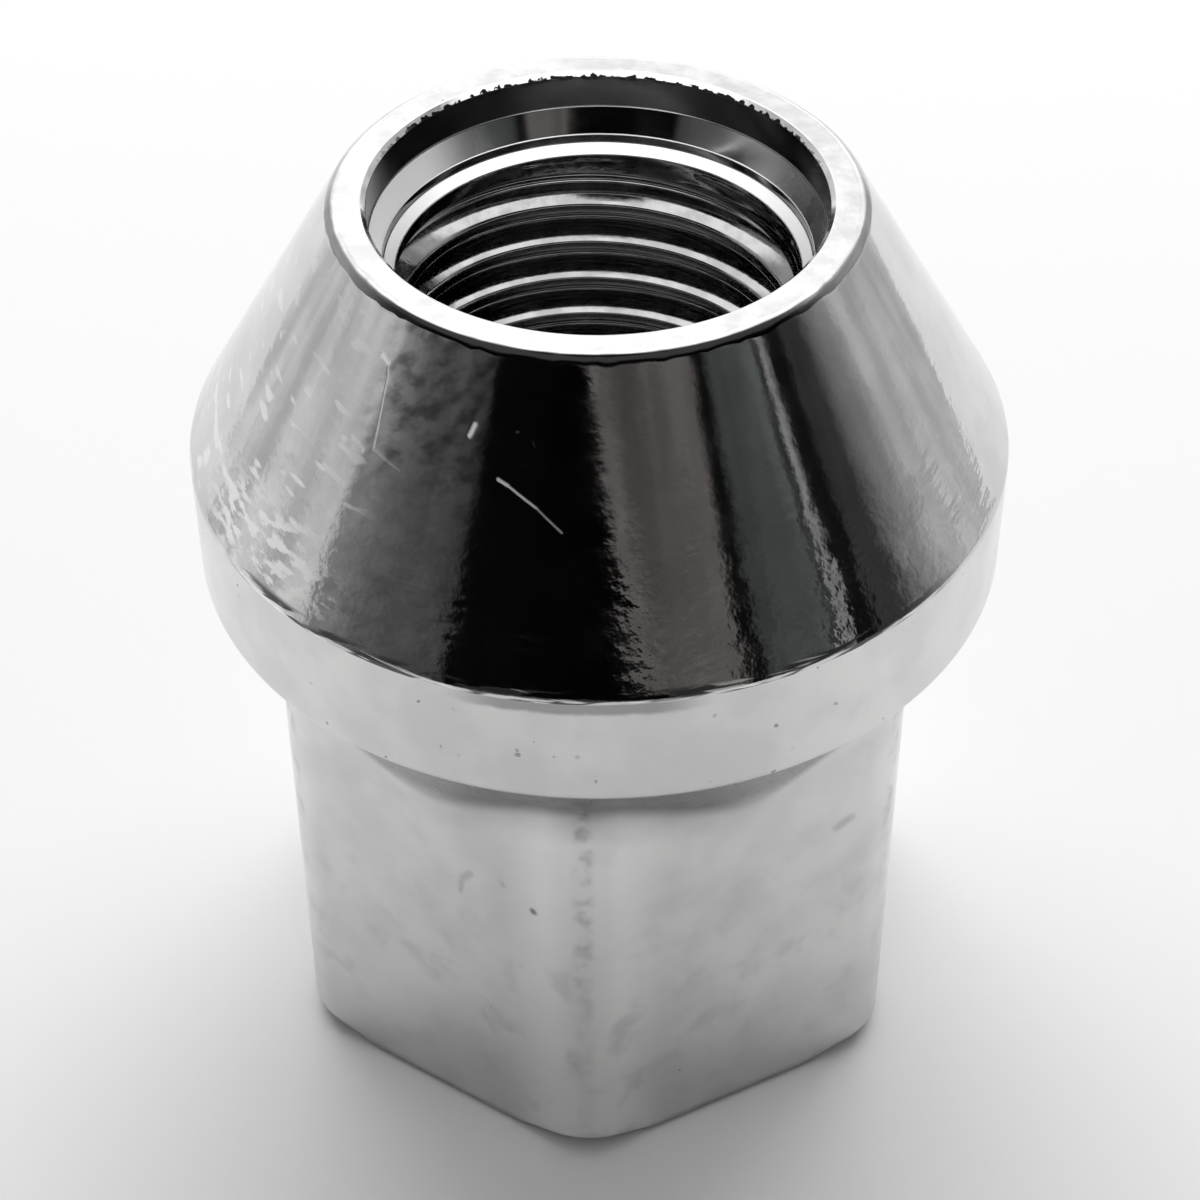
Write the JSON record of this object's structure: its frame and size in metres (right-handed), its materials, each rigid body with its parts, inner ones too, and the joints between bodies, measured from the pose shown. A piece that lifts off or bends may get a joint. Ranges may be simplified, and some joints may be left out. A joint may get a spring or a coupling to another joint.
{
  "type": "lug nut",
  "caption": "Closed chrome wheel nut: rounded hexagon drive, collar and sixty-degree conical seat around a blind threaded hole with a recessed mouth.",
  "frame": {"origin": "centre of the flat hexagon end that the nut stands on", "axes": "+Z along the thread axis, out of the mouth; -Y through one corner of the hexagon"},
  "size_m": [0.0272, 0.0272, 0.0328],
  "materials": {
    "chrome": "bright chrome plate with small scratches, pits and rubbed edges"
  },
  "bodies": {
    "root": {"lug_nut": "chrome"}
  },
  "joints": []
}
